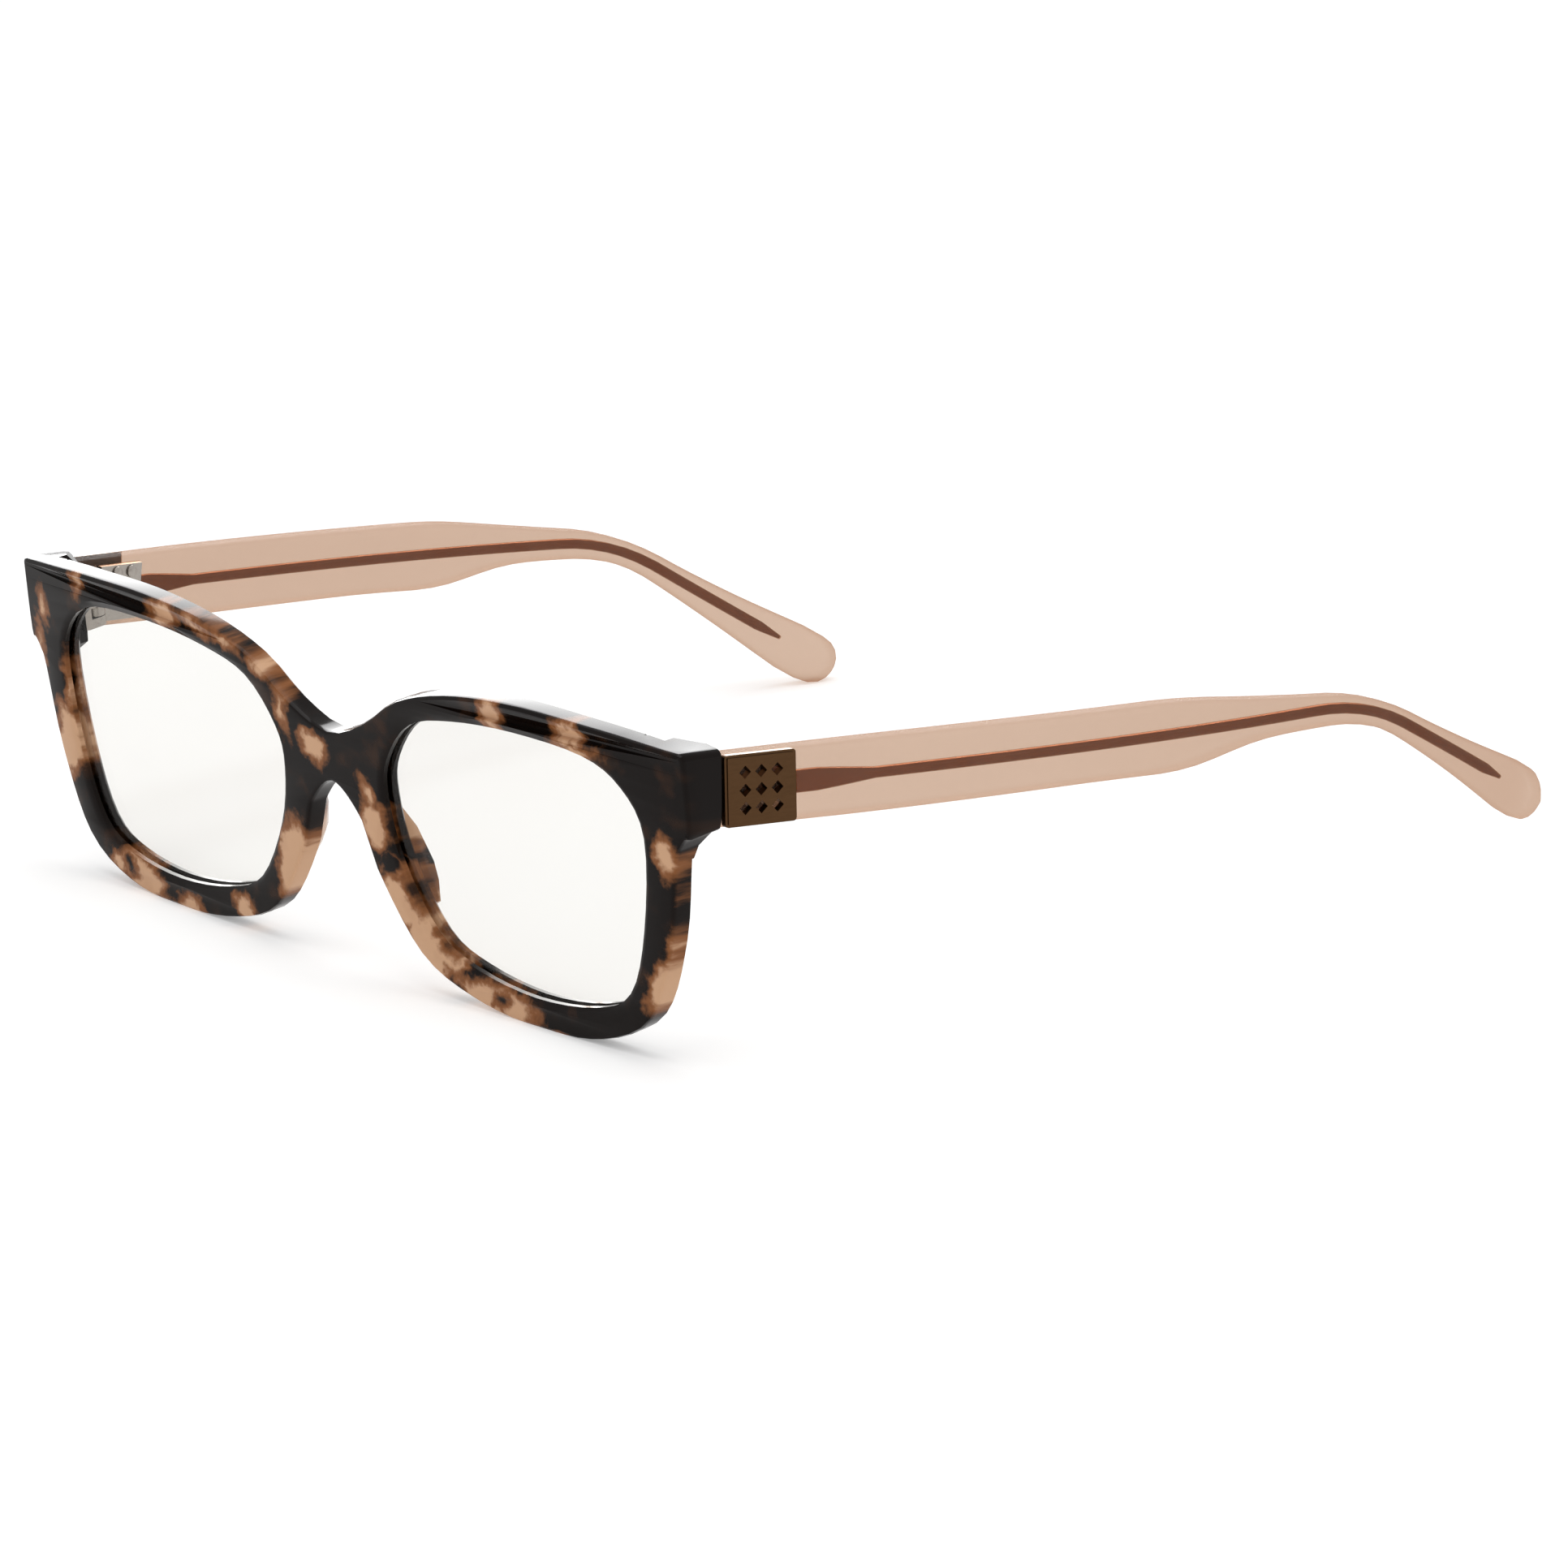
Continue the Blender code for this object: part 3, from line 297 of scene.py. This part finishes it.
def metal(name, rgb, rough, grain):
    """Drawn or brushed metal: a fine grain, with small changes of tone."""
    material, end = new_material(name)
    place = in_millimetres(end)
    lines = end.node("ShaderNodeVectorMath", {"operation": "MULTIPLY"}, i0=place, i1=grain)
    streak = noise(end, lines, 1.0, 4.0)
    tone = streak.blend(colour([c * 0.82 for c in rgb]), colour([min(1.0, c * 1.18) for c in rgb]))
    shader = end.node("ShaderNodeBsdfPrincipled", None, 0, Base_Color=tone, Metallic=1.0,
                      Roughness=streak * 0.18 + (rough - 0.09),
                      Normal=bumped(end, streak, 0.12, GRAIN_DEPTH))
    finish_with(end, shader)
    return material


def smooth_by_angle():
    """Modifier group that shades gentle turns smooth and keeps real edges sharp."""
    group = bpy.data.node_groups.new("smooth_by_angle", "GeometryNodeTree")
    group.is_modifier = True
    group.interface.new_socket("Geometry", in_out="INPUT", socket_type="NodeSocketGeometry")
    group.interface.new_socket("Geometry", in_out="OUTPUT", socket_type="NodeSocketGeometry")
    start = group.nodes.new("NodeGroupInput")
    faces = group.nodes.new("GeometryNodeSetShadeSmooth")
    edges = group.nodes.new("GeometryNodeSetShadeSmooth")
    edges.domain = "EDGE"
    edges.inputs["Shade Smooth"].default_value = False
    angle = group.nodes.new("GeometryNodeInputMeshEdgeAngle")
    large = group.nodes.new("FunctionNodeCompare")
    large.operation = "GREATER_THAN"
    large.inputs["B"].default_value = SHARP_ANGLE
    stop = group.nodes.new("NodeGroupOutput")
    group.links.new(start.outputs[0], faces.inputs["Geometry"])
    group.links.new(faces.outputs[0], edges.inputs["Geometry"])
    group.links.new(angle.outputs["Unsigned Angle"], large.inputs["A"])
    group.links.new(large.outputs[0], edges.inputs["Selection"])
    group.links.new(edges.outputs[0], stop.inputs[0])
    return group


def dress(node, material):
    """Gives a CAD node its finish; its shape stays as packed."""
    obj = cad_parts[node]
    obj.data.materials.clear()
    obj.data.materials.append(material)
    weld = obj.modifiers.new("weld", "WELD")
    weld.merge_threshold = WELD_REACH
    smooth = obj.modifiers.new("smooth", "NODES")
    smooth.node_group = bpy.data.node_groups.get("smooth_by_angle") or smooth_by_angle()
    weigh = obj.modifiers.new("weigh", "WEIGHTED_NORMAL")
    weigh.keep_sharp = True
    weigh.weight = FLAT_FACE_WEIGHT


class GLASSES_OT_front(bpy.types.Operator):
    """Finishes the mottled front and its nose pads"""
    bl_idname = "glasses.front"
    bl_label = "Front and nose pads"

    def execute(self, context):
        look = context.scene.tortoise_look
        dress("front_frame", tortoise("mottled_front", look))
        for side in SIDES:
            dress(f"nose_pad_{side}", tortoise(f"mottled_pad_{side}", look, PAD_LIFT))
        return {"FINISHED"}


class GLASSES_OT_lenses(bpy.types.Operator):
    """Finishes the two clear lenses"""
    bl_idname = "glasses.lenses"
    bl_label = "Lenses"

    def execute(self, context):
        material = clear_lens("clear_lens", context.scene.lens_look)
        for side in SIDES:
            dress(f"lens_{side}", material)
        return {"FINISHED"}


class GLASSES_OT_temples(bpy.types.Operator):
    """Finishes the translucent temples"""
    bl_idname = "glasses.temples"
    bl_label = "Temples"

    def execute(self, context):
        material = blush("blush_acetate", context.scene.temple_look)
        for side in SIDES:
            dress(f"temple_{side}", material)
        return {"FINISHED"}


class GLASSES_OT_wires(bpy.types.Operator):
    """Finishes the core wires inside the temples"""
    bl_idname = "glasses.wires"
    bl_label = "Core wires"

    def execute(self, context):
        material = metal("gilt_wire", context.scene.metal_look.wire, 0.4, WIRE_GRAIN)
        for side in SIDES:
            dress(f"core_wire_{side}", material)
        return {"FINISHED"}


class GLASSES_OT_plates(bpy.types.Operator):
    """Finishes the plates on the temples' front ends"""
    bl_idname = "glasses.plates"
    bl_label = "Temple plates"

    def execute(self, context):
        material = metal("bronze_plate", context.scene.metal_look.bronze, 0.38, PLATE_GRAIN)
        for side in SIDES:
            dress(f"temple_plaque_{side}", material)
        return {"FINISHED"}


class GLASSES_OT_hinges(bpy.types.Operator):
    """Finishes the hinge leaves, their screws and the rivets"""
    bl_idname = "glasses.hinges"
    bl_label = "Hinges, screws and rivets"

    def execute(self, context):
        material = metal("hinge_steel", context.scene.metal_look.steel, 0.3, STEEL_GRAIN)
        for side in SIDES:
            for kind in ("front_hinge", "temple_hinge", "hinge_screw", "rivet_front", "rivet_rear"):
                dress(f"{kind}_{side}", material)
        return {"FINISHED"}


def add_light(name, place, size, power):
    """A square soft light that looks at the glasses."""
    lamp = bpy.data.lights.new(name, "AREA")
    lamp.shape = "SQUARE"
    lamp.size = size
    lamp.energy = power
    obj = bpy.data.objects.new(name, lamp)
    bpy.context.scene.collection.objects.link(obj)
    obj.location = place
    obj.rotation_euler = (Vector(LIGHTS_AIM) - Vector(place)).to_track_quat("-Z", "Y").to_euler()
    obj.visible_camera = False
    return obj


def white_world(around):
    """White as seen, an even level for the light it gives."""
    world = bpy.data.worlds.new("studio")
    bpy.context.scene.world = world
    world.use_nodes = True
    tree = world.node_tree
    end = Value(tree, tree.nodes["World Output"].inputs["Surface"])
    path = tree.nodes.new("ShaderNodeLightPath")
    seen = Value(tree, path.outputs["Is Camera Ray"]) + Value(tree, path.outputs["Is Transmission Ray"])
    seen = seen + Value(tree, path.outputs["Is Glossy Ray"])
    level = seen.lowest(1.0) * (1.0 - around) + around
    background = tree.nodes["Background"]
    end.plug(background.inputs["Strength"], level)
    background.inputs["Color"].default_value = (1, 1, 1, 1)


def floor_material(look):
    material, end = new_material("studio_floor")
    grain = noise(end, in_millimetres(end), 0.02, 2.0)
    tone = grain.blend(colour(look.floor), colour([c * 0.985 for c in look.floor]))
    shader = end.node("ShaderNodeBsdfPrincipled", None, 0, Base_Color=tone, Roughness=0.9,
                      Specular_IOR_Level=0.0, Emission_Color=(1, 1, 1, 1), Emission_Strength=FLOOR_GLOW)
    finish_with(end, shader)
    return material


class GLASSES_OT_stage(bpy.types.Operator):
    """Sets the floor, the soft lights and the camera"""
    bl_idname = "glasses.stage"
    bl_label = "Studio stage"

    def execute(self, context):
        look = context.scene.stage_look
        mesh = bpy.data.meshes.new("studio_floor")
        far = FLOOR_REACH
        corners = [(-far, -far, 0), (far, -far, 0), (far, far, 0), (-far, far, 0)]
        mesh.from_pydata(corners, [], [(0, 1, 2, 3)])
        floor = bpy.data.objects.new("studio_floor", mesh)
        context.scene.collection.objects.link(floor)
        mesh.materials.append(floor_material(look))
        shine = add_light("light_behind", BEHIND_PLACE, BEHIND_SIZE, look.back)
        shine.visible_diffuse = False
        add_light("light_above", ABOVE_PLACE, ABOVE_SIZE, look.above)
        white_world(look.around)
        around, height, roll = (math.radians(a) for a in (VIEW_AROUND, VIEW_HEIGHT, VIEW_ROLL))
        back = Vector((math.sin(around) * math.cos(height), -math.cos(around) * math.cos(height),
                       math.sin(height)))
        level = Vector((math.cos(around), math.sin(around), 0))
        upright = back.cross(level)
        right = level * math.cos(roll) + upright * math.sin(roll)
        up = upright * math.cos(roll) - level * math.sin(roll)
        camera = bpy.data.objects.new("camera", bpy.data.cameras.new("camera"))
        context.scene.collection.objects.link(camera)
        camera.data.sensor_width = VIEW_SENSOR
        camera.data.lens = VIEW_LENS
        camera.data.clip_start = 0.01
        turn = Matrix((right, up, back)).transposed().to_4x4()
        place = (right * VIEW_MIDDLE[0] + up * VIEW_MIDDLE[1] + back * VIEW_DISTANCE) * MM
        camera.matrix_world = Matrix.Translation(place) @ turn
        context.scene.camera = camera
        context.scene.view_settings.view_transform = "Standard"
        return {"FINISHED"}


class GLASSES_PT_panel(bpy.types.Panel):
    bl_idname = "GLASSES_PT_panel"
    bl_label = "Glasses"
    bl_space_type = "VIEW_3D"
    bl_region_type = "UI"
    bl_category = "Glasses"

    def draw(self, context):
        for operator in OPERATORS:
            self.layout.operator(operator.bl_idname)
        for name in LOOKS:
            look = getattr(context.scene, name)
            for key in look.bl_rna.properties.keys():
                if key not in ("rna_type", "name"):
                    self.layout.prop(look, key)


OPERATORS = (GLASSES_OT_front, GLASSES_OT_lenses, GLASSES_OT_wires, GLASSES_OT_temples,
             GLASSES_OT_plates, GLASSES_OT_hinges, GLASSES_OT_stage)
LOOKS = {"tortoise_look": TortoiseLook, "temple_look": TempleLook, "metal_look": MetalLook,
         "lens_look": LensLook, "stage_look": StageLook}
CLASSES = (*LOOKS.values(), *OPERATORS, GLASSES_PT_panel)


def register():
    for kind in CLASSES:
        bpy.utils.register_class(kind)
    for name, kind in LOOKS.items():
        setattr(bpy.types.Scene, name, PointerProperty(type=kind))


def unregister():
    for name in LOOKS:
        delattr(bpy.types.Scene, name)
    for kind in reversed(CLASSES):
        bpy.utils.unregister_class(kind)


def main():
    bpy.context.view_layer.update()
    register()
    bpy.ops.glasses.front()
    bpy.ops.glasses.lenses()
    bpy.ops.glasses.wires()
    bpy.ops.glasses.temples()
    bpy.ops.glasses.plates()
    bpy.ops.glasses.hinges()
    bpy.ops.glasses.stage()


if __name__ == "__main__":
    main()
